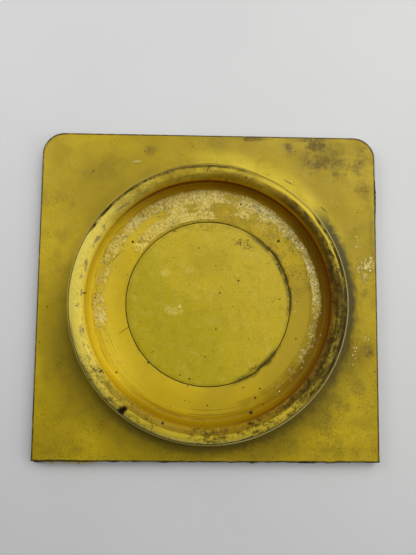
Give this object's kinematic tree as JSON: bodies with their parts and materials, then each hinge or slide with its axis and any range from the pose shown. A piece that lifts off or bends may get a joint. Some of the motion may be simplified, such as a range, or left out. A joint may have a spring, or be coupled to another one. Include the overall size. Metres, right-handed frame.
{
  "type": "raised pavement marker",
  "caption": "Square flanged road marker with a raised round cup, a disc let into the dish floor, and a butyl pad that sticks it to the road.",
  "frame": {"origin": "centre of the footprint, on the road surface under the adhesive pad", "axes": "+Z away from the road, +Y towards the edge with the two rounded corners, +X to the right"},
  "size_m": [0.1008, 0.0972, 0.0095],
  "materials": {
    "plate_plastic": "moulded yellow plastic, scuffed and soiled",
    "cup_plastic": "moulded translucent yellow plastic, soiled rim",
    "disc_plastic": "moulded olive-yellow plastic, smooth",
    "butyl": "black tacky butyl, gritty underside",
    "dried_glue": "clear dried glue, wrinkled and glossy",
    "bitumen": "dull black bitumen"
  },
  "bodies": {
    "root": {"adhesive_pad": "butyl", "base_plate": "plate_plastic", "cup_ring": "cup_plastic", "centre_disc": "disc_plastic", "dish_glue_film": "dried_glue", "disc_glue_patch": "dried_glue", "flange_glue_patch": "dried_glue", "edge_tar": "bitumen"}
  },
  "joints": []
}
